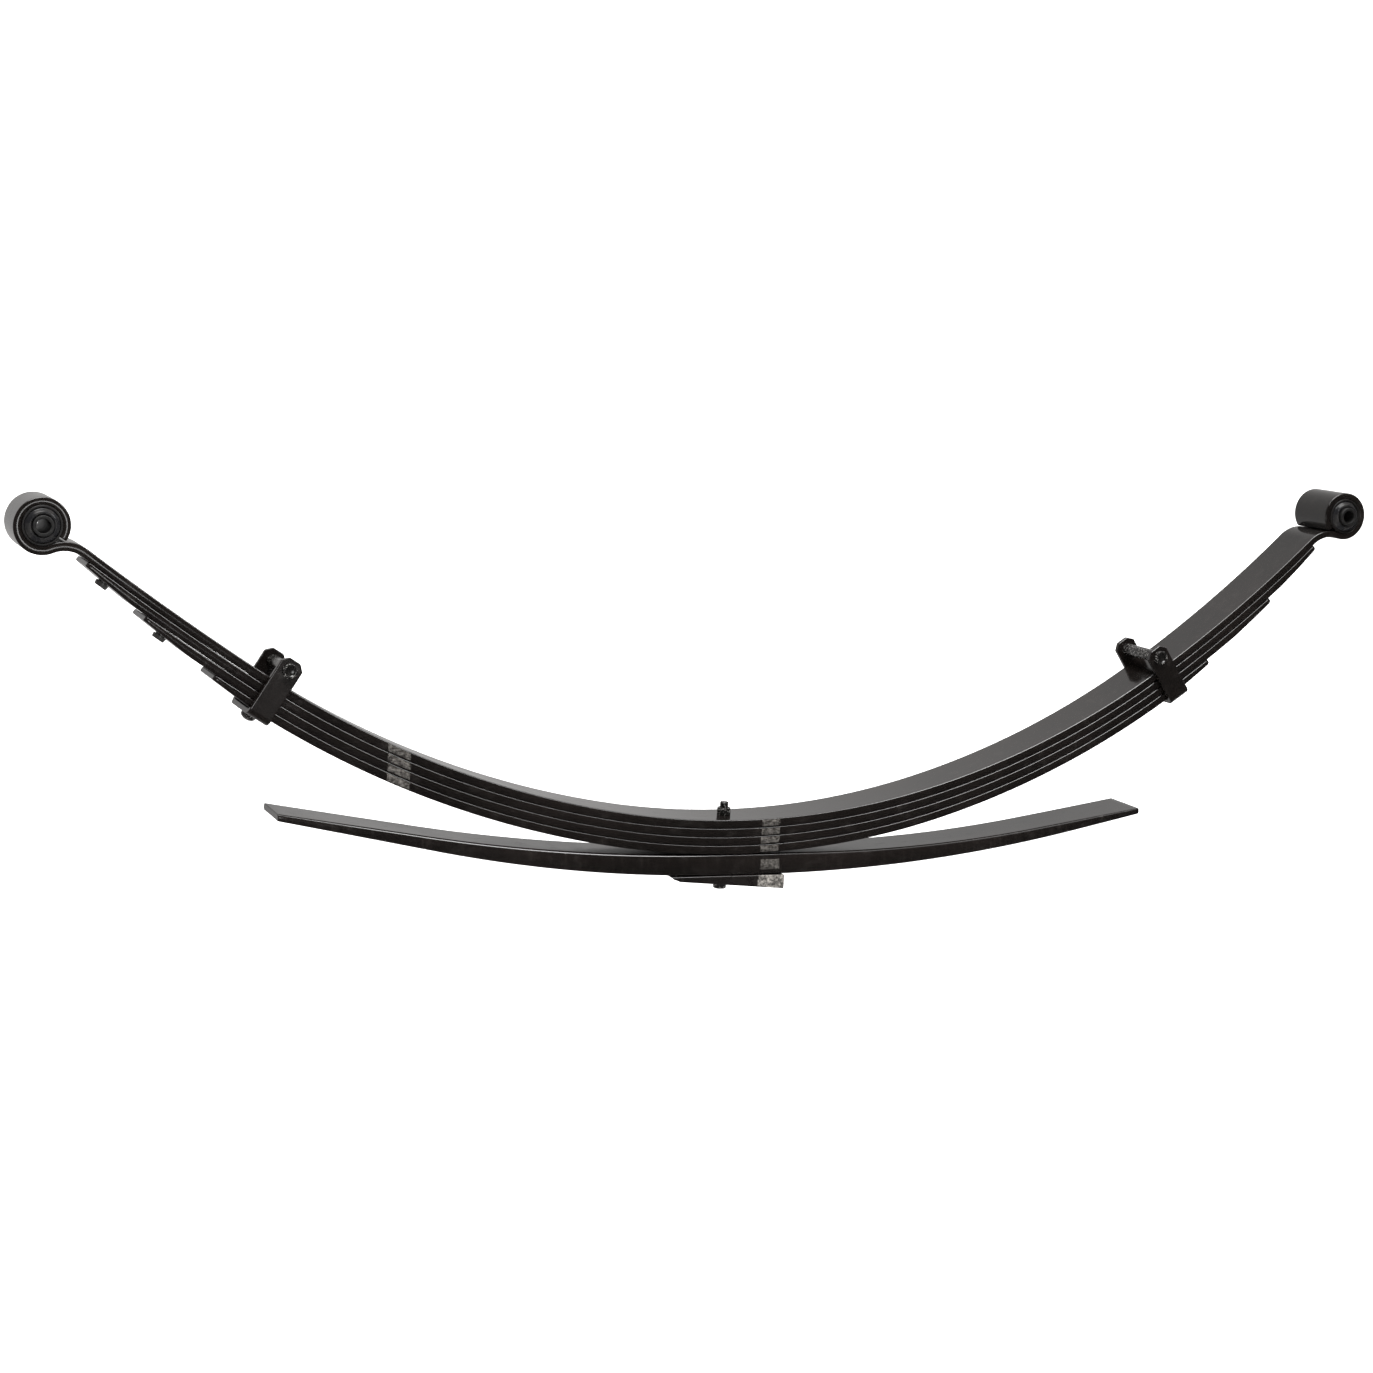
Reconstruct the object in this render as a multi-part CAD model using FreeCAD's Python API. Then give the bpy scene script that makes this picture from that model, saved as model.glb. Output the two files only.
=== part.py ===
"""Semi-elliptic leaf spring of a light truck's rear axle: four leaves, a thick
overload leaf, a taper wedge, two rubber-bushed eyes and two rebound clips.

Axes: +X along the spring towards the rear eye, +Y across its width, +Z up.
Origin: where the centre-bolt axis meets the wedge's underside, the axle seat.
Every leaf follows one line, the main leaf's upper face, which starts level over
the centre bolt. A place on a leaf is a pair (s, off): s is the distance along
that line from the bolt, and off the height above it, square to it.
"""
import FreeCAD, Part
import math
import os

V = FreeCAD.Vector

# ---- driving dimensions, millimetres and degrees ----
width = 63.5                # leaf width
leaf_gap = 0.2              # paint and liner between the leaves
tip_t, tip_run = 5.2, 60    # thickness and length of the swaged leaf tips

# Line of the main leaf: (length, radius) spans out from the bolt, then its reverse
# bend before the eye (radius at the upper face, degrees) and the turn of the eye.
front_line = [(120, 790), (420, 1017), (216, 3200)]
rear_line = [(240, 843), (300, 952), (240, 1478)]
front_reverse, rear_reverse = (38, 58.6), (38, 60.9)
eye_r = 19.65               # inside radius of the rolled eyes
front_wrap, rear_wrap = 325.5, 326.5
# Leaf thickness along the line: (s, thickness), even between the places.
front_thick = [(0, 9.1), (812, 9.1), (842, 7.6)]
rear_thick = [(0, 9.1), (200, 9.1), (750, 8.3), (815, 7)]

front_tips = {"second_leaf": 749, "third_leaf": 673, "fourth_leaf": 584}
rear_tips = {"second_leaf": 779, "third_leaf": 699, "fourth_leaf": 598}
overload_t = 23.2           # overload leaf's thickness at the centre
overload_len = 495          # bolt axis to each of its ends

wedge_front, wedge_rear = 69.5, 62  # wedge's reach to each side of the bolt
wedge_thin = 5.5            # wedge's thickness at the end of its front bevel
wedge_angle = 4.8
bevel = 11                  # length of the front bevel
wedge_chamfer = 1.5

bolt_r = 4.75               # centre bolt and its hole
bolt_hole_r = 5.0
head_r = 7.2                # round locating head of the centre bolt
neck_r = 6.9                # the head where it passes through the wedge
head_from, head_to = 1.6, 9.6       # the head's reach below the seat
head_room_r = 8.5           # wedge's hole for it
nut_flats, nut_h, nut_turn = 14.3, 8, -22
bolt_top = 14.4             # centre bolt's end above the main leaf
end_chamfer = 0.8

sleeve_in_r, sleeve_r = 7.0, 10.2   # bushing's inner sleeve
sleeve_len = 78
shell_wall = 2.3            # bushing's outer shell
rubber_out = 3.5            # rubber's bulge past the shell at each side
fit_gap = 0.05              # radial clearance between turning fits

clip_s = {"front": 526, "rear": 545}    # clip centres along the line
clip_w, clip_t = 25.4, 5.5              # clip strap
clip_side_gap = 1.0                     # strap to leaf edge
clip_under_gap = 0.3                    # strap to the fourth leaf's underside
ear_top, ear_cut = 27.0, 6.5            # ear's height over the leaf, corner cut
clip_bolt_off, clip_bolt_r = 15.5, 4.0
clip_head_r, clip_head_h = 7.6, 5
clip_nut_flats, clip_nut_h = 13, 6.5
spacer_r = 6.5
rivet_r, rivet_head_r, rivet_head_h = 5, 8.2, 6
rivet_rise = 5.5            # rivet's reach up into the fourth leaf

insert_in = 29              # tip insert's centre, inboard of the leaf's tip
insert_head_r, insert_head_t = 12, 1.8
insert_stem_r, insert_button_r, insert_button_h = 5.2, 7.2, 4.8
insert_hollow_r = 3.6
insert_clear = 0.15         # insert to the leaf it sits in

# ---- worked out from them ----
half = width / 2
pitch = front_thick[0][1] + leaf_gap
wedge_mid = wedge_thin + (wedge_front - bevel) * math.tan(math.radians(wedge_angle))
overload_top = 4 * pitch
top_z = overload_top + overload_t + wedge_mid   # main leaf's upper face at the bolt
rows = ["main_leaf", "second_leaf", "third_leaf", "fourth_leaf"]


def spans(side):
    """(length, curvature) spans of one side's line, through the reverse bend and eye."""
    front = side < 0
    line = front_line if front else rear_line
    reverse_r, turn = front_reverse if front else rear_reverse
    wrap = front_wrap if front else rear_wrap
    out = [(length, 1 / radius) for length, radius in line]
    out.append((reverse_r * math.radians(turn), -1 / reverse_r))
    out.append((eye_r * math.radians(wrap), 1 / eye_r))
    return out


def pose(side, s):
    """x, z and heading of the line at distance s, mirrored by side -1 or +1."""
    x, z, heading = 0, top_z, 0
    for length, curve in spans(side):
        step = min(length, s)
        turned = heading + curve * step
        x += (math.sin(turned) - math.sin(heading)) / curve
        z += (math.cos(heading) - math.cos(turned)) / curve
        heading = turned
        s -= step
        if s <= 0:
            break
    return side * x, z, heading


def at(side, s, off, y=0):
    """The point at (s, off) on one side."""
    x, z, heading = pose(side, s)
    return V(x - side * off * math.sin(heading), y, z + off * math.cos(heading))


def up(side, s):
    """Unit vector square to the leaves at s, pointing up."""
    return (at(side, s, 1) - at(side, s, 0)).normalize()


def thickness(side, s):
    """Thickness of a leaf at distance s."""
    table = front_thick if side < 0 else rear_thick
    for (s0, t0), (s1, t1) in zip(table, table[1:]):
        if s <= s1:
            return t0 + (t1 - t0) * (s - s0) / (s1 - s0)
    return table[-1][1]


def breaks(side, s0, s1, extra=()):
    """Places between s0 and s1 where the line or the thickness changes its law."""
    table = front_thick if side < 0 else rear_thick
    places, s = list(extra) + [place for place, _ in table], 0
    for length, _ in spans(side):
        s += length
        places.append(s)
    inner = sorted({round(p, 3) for p in places if s0 + 0.5 < p < s1 - 0.5})
    return [s0] + inner + [s1]


def edges(side, s0, s1, off, extra=()):
    """Arcs from s0 to s1 on one side, at the height off(s)."""
    out = []
    marks = breaks(side, s0, s1, extra)
    for a, b in zip(marks, marks[1:]):
        parts = 2 if abs(pose(side, b)[2] - pose(side, a)[2]) > 2 else 1
        for i in range(parts):
            ends = a + (b - a) * i / parts, a + (b - a) * (i + 1) / parts
            p, q = (at(side, s, off(s)) for s in ends)
            middle = sum(ends) / 2
            m = at(side, middle, off(middle))
            straight = m.distanceToLine(p, q - p) < 1e-4
            arc = Part.LineSegment(p, q) if straight else Part.Arc(p, m, q)
            out.append(arc.toShape())
    return out


def across(outline_edges, wide=width):
    """Solid of a closed XZ outline, centred on the spring's width."""
    wire = Part.Wire(Part.__sortEdges__(outline_edges))
    face = Part.Face(wire)
    face.translate(V(0, -wide / 2, 0))
    return face.extrude(V(0, wide, 0))


def rod(base, axis, radius, length):
    """Cylinder from base along axis."""
    return Part.makeCylinder(radius, length, base, axis)


def tube(base, axis, r_out, r_in, length):
    """Tube from base along axis."""
    return rod(base, axis, r_out, length).cut(rod(base, axis, r_in, length))


def hexagon(base, axis, flats, height):
    """Hexagonal prism from base along axis."""
    start = axis.cross(V(1, 0, 0) if abs(axis.x) < 0.9 else V(0, 0, 1)).normalize()
    points = []
    for i in range(7):
        turn = FreeCAD.Rotation(axis, 60 * i)
        points.append(base + turn.multVec(start) * (flats / math.sqrt(3)))
    return Part.Face(Part.makePolygon(points)).extrude(axis * height)


def main_leaf():
    """Top leaf, rolled up into an eye at each end."""
    loop, ends = [], {}
    for side in (-1, 1):
        end = sum(length for length, _ in spans(side))
        loop += edges(side, 0, end, lambda s: 0)
        loop += edges(side, 0, end, lambda s, side=side: -thickness(side, s))
        ends[side] = [at(side, end, 0), at(side, end, -thickness(side, end))]
        loop.append(Part.LineSegment(*ends[side]).toShape())
    return across(loop).cut(bolt_hole())


def lower_leaf(name):
    """One of the three plain leaves under the main leaf, with swaged tips."""
    row = rows.index(name)
    loop = []
    for side, tips in ((-1, front_tips), (1, rear_tips)):
        tip = tips[name]

        def top(s, side=side):
            return -row * (thickness(side, s) + leaf_gap)

        def bottom(s, side=side, tip=tip):
            thinned = min(1, max(0, (s - tip + tip_run) / tip_run))
            here = thickness(side, s)
            return top(s, side) - here - thinned * (tip_t - here)

        loop += edges(side, 0, tip, top)
        loop += edges(side, 0, tip, bottom, [tip - tip_run])
        loop.append(Part.LineSegment(at(side, tip, top(tip)),
                                     at(side, tip, bottom(tip))).toShape())
    leaf = across(loop).cut(bolt_hole())
    for side, tips in ((-1, front_tips), (1, rear_tips)):
        if name == "fourth_leaf":
            leaf = leaf.cut(rivet_room(side))
        else:
            leaf = leaf.cut(insert_room(name, side, tips[name] - insert_in))
    return leaf


def bolt_hole():
    """Room for the centre bolt through everything on it."""
    return rod(V(0, 0, -50), V(0, 0, 1), bolt_hole_r, top_z + 100)


def overload_leaf():
    """Thick, flatter leaf below the others, tapered to its square ends."""
    top, bottom = top_z - overload_top, top_z - overload_top - overload_t
    # Upper and lower face of each side: end of the flat seat, end of the arc, then slope.
    faces = {-1: [(20, 340, 0.167), (10, 330, 0.21)],
             1: [(98, 374, 0.162), (34, 424, 0.219)]}
    loop = []
    for side, (upper, lower) in faces.items():
        ends = []
        for level, (flat, bend_to, slope) in ((top, upper), (bottom, lower)):
            points = [V(0, 0, level), V(side * flat, 0, level)]
            rise = (bend_to - flat) * slope / 2
            knee = V(side * bend_to, 0, level + rise)
            end_z = knee.z + (overload_len - bend_to) * slope
            middle = V(side * (flat + bend_to) / 2, 0, level + rise / 4)
            tip = V(side * overload_len, 0, end_z)
            loop.append(Part.LineSegment(*points).toShape())
            loop.append(Part.Arc(points[1], middle, knee).toShape())
            loop.append(Part.LineSegment(knee, tip).toShape())
            ends.append(tip)
        loop.append(Part.LineSegment(*ends).toShape())
    return across(loop).cut(bolt_hole())


def taper_wedge():
    """Caster wedge on the axle seat, thicker to the rear."""
    level = wedge_mid
    slope = math.tan(math.radians(wedge_angle))
    thin_x = -wedge_front + bevel
    points = [V(-wedge_front, 0, level), V(thin_x, 0, -thin_x * slope),
              V(wedge_rear, 0, -wedge_rear * slope),
              V(wedge_rear, 0, level - wedge_chamfer),
              V(wedge_rear - wedge_chamfer, 0, level)]
    loop = [Part.LineSegment(a, b).toShape()
            for a, b in zip(points, points[1:] + points[:1])]
    return across(loop).cut(rod(V(0, 0, -wedge_rear), V(0, 0, 1), head_room_r, 2 * wedge_rear))


def center_bolt():
    """Centre bolt, its round head down through the wedge to locate on the axle."""
    head = rod(V(0, 0, -head_to), V(0, 0, 1), head_r, head_to - head_from)
    rim = [e for e in head.Edges if e.BoundBox.ZMax < 0.01 - head_to]
    head = head.makeChamfer(end_chamfer, rim)
    neck = rod(V(0, 0, -head_from), V(0, 0, 1), neck_r, head_from + wedge_mid)
    shank = rod(V(0, 0, 0), V(0, 0, 1), bolt_r, top_z + bolt_top)
    tip = [e for e in shank.Edges if e.BoundBox.ZMin > top_z + bolt_top - 0.01]
    shank = shank.makeChamfer(end_chamfer, tip)
    return head.fuse([neck, shank]).removeSplitter()


def center_nut():
    """Hexagon nut on the main leaf."""
    base = V(0, 0, top_z + 0.1)
    nut = hexagon(base, V(0, 0, 1), nut_flats, nut_h)
    nut.rotate(base, V(0, 0, 1), nut_turn)
    return nut.cut(rod(base, V(0, 0, 1), bolt_r + fit_gap, nut_h))


def eye_center(side, y):
    """Centre of one eye, at y across the width."""
    start = sum(length for length, _ in spans(side)[:-1])
    return at(side, start, eye_r, y)


def bushing(side):
    """Outer shell, bulged rubber and inner sleeve of one eye."""
    across_y = V(0, 1, 0)
    shell_r = eye_r - fit_gap
    rubber_r = shell_r - shell_wall
    shell = tube(eye_center(side, -half), across_y, shell_r, rubber_r, width)
    inner = sleeve_r + fit_gap
    r_mid = (inner + rubber_r) / 2
    y1 = half + rubber_out
    loop = [Part.LineSegment(V(inner, -half, 0), V(inner, half, 0)),
            Part.Arc(V(inner, half, 0), V(r_mid, y1, 0), V(rubber_r, half, 0)),
            Part.LineSegment(V(rubber_r, half, 0), V(rubber_r, -half, 0)),
            Part.Arc(V(rubber_r, -half, 0), V(r_mid, -y1, 0), V(inner, -half, 0))]
    face = Part.Face(Part.Wire([e.toShape() for e in loop]))
    rubber = face.revolve(V(0, 0, 0), across_y, 360)
    rubber.translate(eye_center(side, 0))
    sleeve = tube(eye_center(side, -sleeve_len / 2), across_y,
                  sleeve_r, sleeve_in_r, sleeve_len)
    return {"bushing_shell": shell, "bushing_rubber": rubber, "bushing_sleeve": sleeve}


def clip_frame(side):
    """Place of a clip: local X along the leaf, Z square to it, zero on the line."""
    s = clip_s["front" if side < 0 else "rear"]
    along = up(side, s).cross(V(0, 1, 0)) * -1
    rotation = FreeCAD.Rotation(along, V(0, 1, 0), up(side, s), "ZXY")
    return FreeCAD.Placement(at(side, s, 0), rotation), s


def clip_floor(side, s):
    """Height of the clip strap's upper face under the fourth leaf."""
    return -4 * thickness(side, s) - 3 * leaf_gap - clip_under_gap


def clip_strap(floor):
    """U-shaped strap with cut ear corners, in the clip's own place."""
    y_in = half + clip_side_gap
    y_out = y_in + clip_t
    low = floor - clip_t
    half_w = clip_w / 2
    ears = [V(-half_w, 0, low), V(half_w, 0, low),
            V(half_w, 0, ear_top - ear_cut), V(half_w - ear_cut, 0, ear_top),
            V(ear_cut - half_w, 0, ear_top), V(-half_w, 0, ear_top - ear_cut)]
    block = across([Part.LineSegment(a, b).toShape()
                    for a, b in zip(ears, ears[1:] + ears[:1])], 2 * y_out)
    bends = [e for e in block.Edges
             if e.BoundBox.ZMax < low + 0.01 and e.BoundBox.XLength > clip_w - 1]
    block = block.makeFillet(clip_t, bends)
    room = Part.makeBox(clip_w, 2 * y_in, ear_top - low, V(-half_w, -y_in, low + clip_t))
    holes = rod(V(0, -y_out, clip_bolt_off), V(0, 1, 0), clip_bolt_r + fit_gap, 2 * y_out)
    rivet_hole = rod(V(0, 0, low), V(0, 0, 1), rivet_r + fit_gap, clip_t)
    return block.cut(room).cut(holes).cut(rivet_hole)


def clip_fasteners(floor):
    """Bolt, nut, spacer and rivet of a clip, in the clip's own place."""
    y_in = half + clip_side_gap
    y_out = y_in + clip_t
    across_y = V(0, 1, 0)
    head = rod(V(0, -y_out, clip_bolt_off), across_y * -1, clip_head_r, clip_head_h)
    head = head.makeChamfer(1, [e for e in head.Edges
                                if e.BoundBox.YMax < -y_out - clip_head_h + 0.01])
    shank_len = 2 * y_out + clip_nut_h + 3
    shank = rod(V(0, -y_out, clip_bolt_off), across_y, clip_bolt_r, shank_len)
    nut_base = V(0, y_out, clip_bolt_off)
    nut = hexagon(nut_base, across_y, clip_nut_flats, clip_nut_h)
    nut = nut.cut(rod(nut_base, across_y, clip_bolt_r + fit_gap, clip_nut_h))
    spacer = tube(V(0, -y_in, clip_bolt_off), across_y, spacer_r,
                  clip_bolt_r + fit_gap, 2 * y_in)
    shank_top = floor + rivet_rise
    stem = rod(V(0, 0, floor - clip_t), V(0, 0, 1), rivet_r, shank_top - floor + clip_t)
    cap_r = (rivet_head_r ** 2 + rivet_head_h ** 2) / (2 * rivet_head_h)
    ball = Part.makeSphere(cap_r, V(0, 0, floor - clip_t - rivet_head_h + cap_r))
    under = Part.makeBox(40, 40, 40, V(-20, -20, floor - clip_t - 40))
    rivet = stem.fuse(ball.common(under)).removeSplitter()
    return {"clip_bolt": head.fuse(shank).removeSplitter(), "clip_nut": nut,
            "clip_spacer": spacer, "clip_rivet": rivet}


def rivet_room(side):
    """Blind hole for the clip's rivet in the fourth leaf's underside."""
    place, s = clip_frame(side)
    floor = clip_floor(side, s)
    hole = rod(V(0, 0, floor - 1), V(0, 0, 1), rivet_r + insert_clear,
               rivet_rise + 1 + insert_clear)
    hole.Placement = place
    return hole


def clip(side):
    """The five pieces of one rebound clip, in place."""
    place, s = clip_frame(side)
    floor = clip_floor(side, s)
    pieces = {"clip_strap": clip_strap(floor), **clip_fasteners(floor)}
    for shape in pieces.values():
        shape.Placement = place
    return pieces


def insert_seat(name, side, s):
    """Base point and direction of a tip insert, at the top of its leaf."""
    row = rows.index(name)
    return at(side, s, -row * (thickness(side, s) + leaf_gap)), up(side, s)


def insert_room(name, side, s):
    """Pocket and hole for a tip insert."""
    top, out = insert_seat(name, side, s)
    depth = insert_head_t + 2 * insert_clear
    pocket = rod(top - out * depth, out, insert_head_r + insert_clear, depth + 1)
    hole = rod(top - out * 20, out, insert_stem_r + insert_clear, 20)
    return pocket.fuse(hole)


def leaf_here(name, side, s):
    """Thickness of a lower leaf near its tip, at s."""
    tip = (front_tips if side < 0 else rear_tips)[name]
    thinned = min(1, max(0, (s - tip + tip_run) / tip_run))
    return thickness(side, s) + thinned * (tip_t - thickness(side, s))


def tip_insert(name, side):
    """Anti-friction insert: flat head under the leaf above, hollow button below."""
    s = (front_tips if side < 0 else rear_tips)[name] - insert_in
    top, out = insert_seat(name, side, s)
    below = leaf_here(name, side, s) + 0.5
    head_top = top - out * insert_clear
    down = out * -1
    head = rod(head_top, down, insert_head_r, insert_head_t)
    stem = rod(head_top, down, insert_stem_r, below)
    button_top = head_top + down * below
    button = rod(button_top, down, insert_button_r, insert_button_h)
    hollow = rod(button_top + down * 0.8, down, insert_hollow_r, insert_button_h)
    return head.fuse([stem, button]).removeSplitter().cut(hollow)


def build():
    """Every node's shape by name."""
    nodes = {"main_leaf": main_leaf(), "overload_leaf": overload_leaf(),
             "taper_wedge": taper_wedge(), "center_bolt": center_bolt(),
             "center_nut": center_nut()}
    for name in rows[1:]:
        nodes[name] = lower_leaf(name)
    for side, end in ((-1, "front"), (1, "rear")):
        for pieces in (bushing(side), clip(side)):
            for name, shape in pieces.items():
                nodes[f"{end}_{name}"] = shape
        for name in ("second_leaf", "third_leaf"):
            nodes[f"{end}_{name[:-5]}_tip_insert"] = tip_insert(name, side)
    return nodes


os.makedirs("parts", exist_ok=True)
for node, shape in build().items():
    shape.exportStep(f"parts/{node}.step")
    print(f"{node:28s} solids {len(shape.Solids)} volume {shape.Volume:10.0f} "
          f"valid {shape.isValid()}")
for side in (-1, 1):
    print("eye centre", eye_center(side, 0), "clip", clip_frame(side)[0].Base)
print("main leaf top", round(top_z, 2))
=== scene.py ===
"""Leaf spring: fine leaves, bushings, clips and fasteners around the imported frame.

Scene units are metres, in the spring's own frame: +X to the rear eye, +Y across the
leaves, +Z up, with the origin where the centre bolt meets the axle seat. Dimensions
below are millimetres. A place on a leaf is (s, off): s along the main leaf's upper
face from the centre bolt, and off square to it.
"""

import math

import bmesh
import bpy
from mathutils import Matrix, Vector

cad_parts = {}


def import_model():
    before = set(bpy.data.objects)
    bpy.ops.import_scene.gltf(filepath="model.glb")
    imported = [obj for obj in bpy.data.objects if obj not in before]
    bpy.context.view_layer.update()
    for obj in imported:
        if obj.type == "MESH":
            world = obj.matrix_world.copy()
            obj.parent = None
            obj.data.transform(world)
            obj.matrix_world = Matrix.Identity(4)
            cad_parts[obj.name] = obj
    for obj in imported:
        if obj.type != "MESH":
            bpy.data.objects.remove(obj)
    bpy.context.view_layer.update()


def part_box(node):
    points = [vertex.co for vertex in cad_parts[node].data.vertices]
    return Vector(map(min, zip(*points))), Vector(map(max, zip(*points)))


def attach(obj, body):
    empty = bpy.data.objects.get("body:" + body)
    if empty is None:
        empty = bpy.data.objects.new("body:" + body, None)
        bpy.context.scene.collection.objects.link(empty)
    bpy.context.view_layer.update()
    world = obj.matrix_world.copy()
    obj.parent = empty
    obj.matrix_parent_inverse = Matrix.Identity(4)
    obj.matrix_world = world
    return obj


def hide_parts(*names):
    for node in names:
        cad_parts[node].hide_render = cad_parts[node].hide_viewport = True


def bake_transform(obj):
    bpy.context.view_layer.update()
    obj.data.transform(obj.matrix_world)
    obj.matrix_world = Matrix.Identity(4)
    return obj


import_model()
scene = bpy.context.scene
MM = 0.001

# ---- driving dimensions, millimetres and degrees ----
WIDTH = 63.5
LEAF_GAP = 0.2
TIP_T, TIP_RUN = 5.2, 60                # swaged leaf tips
# The main leaf's upper face: (length, radius) spans out from the bolt, the reverse bend
# before the eye (radius, degrees) and the turn of the eye.
LINES = {"front": [(120, 790), (420, 1017), (216, 3200)],
         "rear": [(240, 843), (300, 952), (240, 1478)]}
REVERSE = {"front": (38, 58.6), "rear": (38, 60.9)}
EYE_R, EYE_WRAP = 19.65, {"front": 325.5, "rear": 326.5}
# Leaf thickness: (s, thickness), even between the places.
THICK = {"front": [(0, 9.1), (812, 9.1), (842, 7.6)],
         "rear": [(0, 9.1), (200, 9.1), (750, 8.3), (815, 7)]}
SIDES = {"front": -1, "rear": 1}
LEAVES = ["main_leaf", "second_leaf", "third_leaf", "fourth_leaf"]
TIPS = {"second_leaf": {"front": 749, "rear": 779},
        "third_leaf": {"front": 673, "rear": 699},
        "fourth_leaf": {"front": 584, "rear": 598}}
LEAF_SHOULDER, LEAF_SIDE = 1.25, 1.15   # shoulder radius; side radius over thickness
OVERLOAD_T, OVERLOAD_LEN = 23.2, 495
OVERLOAD_SHOULDER, OVERLOAD_SHARE, OVERLOAD_SIDE = 3.4, 0.3, 1.2
# Its upper and lower face: end of the flat seat, end of the arc, then the slope.
OVERLOAD_FACES = {-1: [(20, 340, 0.167), (10, 330, 0.21)],
                  1: [(98, 374, 0.162), (34, 424, 0.219)]}
WEDGE_FRONT, WEDGE_REAR, WEDGE_BEVEL, WEDGE_ANGLE = 69.5, 62, 11, 4.8
BAR_END_R, CAP_INSET = 1.2, 2.0         # rounding of the overload leaf's and wedge's ends
BOLT_R, HEAD_R, NECK_R, HEAD_ROOM_R = 4.75, 7.2, 6.9, 8.5
HEAD_FROM, HEAD_TO, BOLT_TOP = 1.6, 9.6, 14.4
NUT_FLATS, NUT_H, NUT_TURN = 14.3, 8, -22
PITCH, BOLT_THREAD, CLIP_THREAD = 1.25, 0.7, 0.6
SLEEVE_IN_R, SLEEVE_R, SLEEVE_LEN, SHELL_WALL, RUBBER_OUT = 7.0, 10.2, 78, 2.3, 3.5
FIT_GAP = 0.05
CLIP_S = {"front": 526, "rear": 545}
CLIP_W, CLIP_T, CLIP_SIDE_GAP, CLIP_UNDER_GAP = 25.4, 5.5, 1.0, 0.3
EAR_TOP, EAR_CUT, STRAP_BEND, EAR_END_R = 27.0, 6.5, 1.6, 1.0
CLIP_BOLT_OFF, CLIP_BOLT_R, CLIP_HEAD_R, CLIP_HEAD_H = 15.5, 4.0, 7.6, 5
CLIP_NUT_FLATS, CLIP_NUT_H, SPACER_R = 13, 6.5, 6.5
RIVET_R, RIVET_HEAD_R, RIVET_HEAD_H, RIVET_RISE = 5, 8.2, 6, 5.5
INSERT_IN, INSERT_HEAD_R, INSERT_HEAD_T, INSERT_CLEAR = 29, 12, 1.8, 0.15
INSERT_STEM_R, INSERT_BUTTON_R, INSERT_BUTTON_H, INSERT_HOLLOW_R = 5.2, 7.2, 4.8, 3.6

HALF = WIDTH / 2
TOP_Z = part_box("center_nut")[0].z / MM - 0.1    # main leaf's upper face at the bolt
WEDGE_MID = TOP_Z - 4 * (THICK["front"][0][1] + LEAF_GAP) - OVERLOAD_T

# ------------------------------------------------------------------ the leaves' line


def spans(end):
    """(length, curvature) spans of one end's line, through its reverse bend and eye."""
    out = [(length, 1 / radius) for length, radius in LINES[end]]
    radius, turn = REVERSE[end]
    out.append((radius * math.radians(turn), -1 / radius))
    out.append((EYE_R * math.radians(EYE_WRAP[end]), 1 / EYE_R))
    return out


def pose(end, s):
    """x, z and heading of the line at distance s."""
    x, z, heading = 0, TOP_Z, 0
    for length, curve in spans(end):
        step = min(length, s)
        turned = heading + curve * step
        x += (math.sin(turned) - math.sin(heading)) / curve
        z += (math.cos(heading) - math.cos(turned)) / curve
        heading = turned
        s -= step
        if s <= 0:
            break
    return SIDES[end] * x, z, heading


def at(end, s, off, y=0):
    """The point at (s, off)."""
    x, z, heading = pose(end, s)
    return Vector((x - SIDES[end] * off * math.sin(heading), y,
                   z + off * math.cos(heading)))


def thickness(end, s):
    """Thickness of the stacked leaves at s."""
    for (s0, t0), (s1, t1) in zip(THICK[end], THICK[end][1:]):
        if s <= s1:
            return t0 + (t1 - t0) * (s - s0) / (s1 - s0)
    return THICK[end][-1][1]


def leaf_faces(name, end, s):
    """Heights of a leaf's upper and lower face above the line at s."""
    row = LEAVES.index(name)
    thick = thickness(end, s)
    top = -row * (thick + LEAF_GAP)
    if row:
        thinned = min(1, max(0, (s - TIPS[name][end] + TIP_RUN) / TIP_RUN))
        thick += thinned * (TIP_T - thick)
    return top, top - thick


def square_place(end, s):
    """Place at s on the line: local X along the leaf to the rear, Z square to it."""
    up = (at(end, s, 1) - at(end, s, 0)).normalized()
    along = Vector((0, 1, 0)).cross(up)
    turn = Matrix((along, (0, 1, 0), up)).transposed().to_4x4()
    return Matrix.Translation(at(end, s, 0)) @ turn


def eye_center(end):
    """Centre of an eye."""
    return at(end, sum(length for length, _ in spans(end)[:-1]), EYE_R)


# ------------------------------------------------------------------ mesh tools


def linked(name, data):
    """New object of the data, in the scene."""
    obj = bpy.data.objects.new(name, data)
    scene.collection.objects.link(obj)
    return obj


def piece(name, points, faces, material, slot, rest=None, sharp=28):
    """Object from points in millimetres; rest is each point's own-surface place."""
    mesh = bpy.data.meshes.new(name)
    mesh.from_pydata([tuple(p * MM) for p in points], [], faces)
    bm = bmesh.new()
    bm.from_mesh(mesh)
    bmesh.ops.remove_doubles(bm, verts=bm.verts, dist=1e-7)
    bmesh.ops.recalc_face_normals(bm, faces=bm.faces)
    bm.to_mesh(mesh)
    bm.free()
    if rest is None:
        rest = points
    places = mesh.attributes.new("rest", "FLOAT_VECTOR", "POINT")
    if len(mesh.vertices) == len(rest):
        places.data.foreach_set("vector", [c * MM for p in rest for c in p])
    else:                                   # points were merged, so their order is lost
        places.data.foreach_set("vector", [c for v in mesh.vertices for c in v.co])
    mesh.shade_smooth()
    mesh.set_sharp_from_angle(angle=math.radians(sharp))
    mesh.materials.append(material)
    obj = linked(name, mesh)
    return obj


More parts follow.
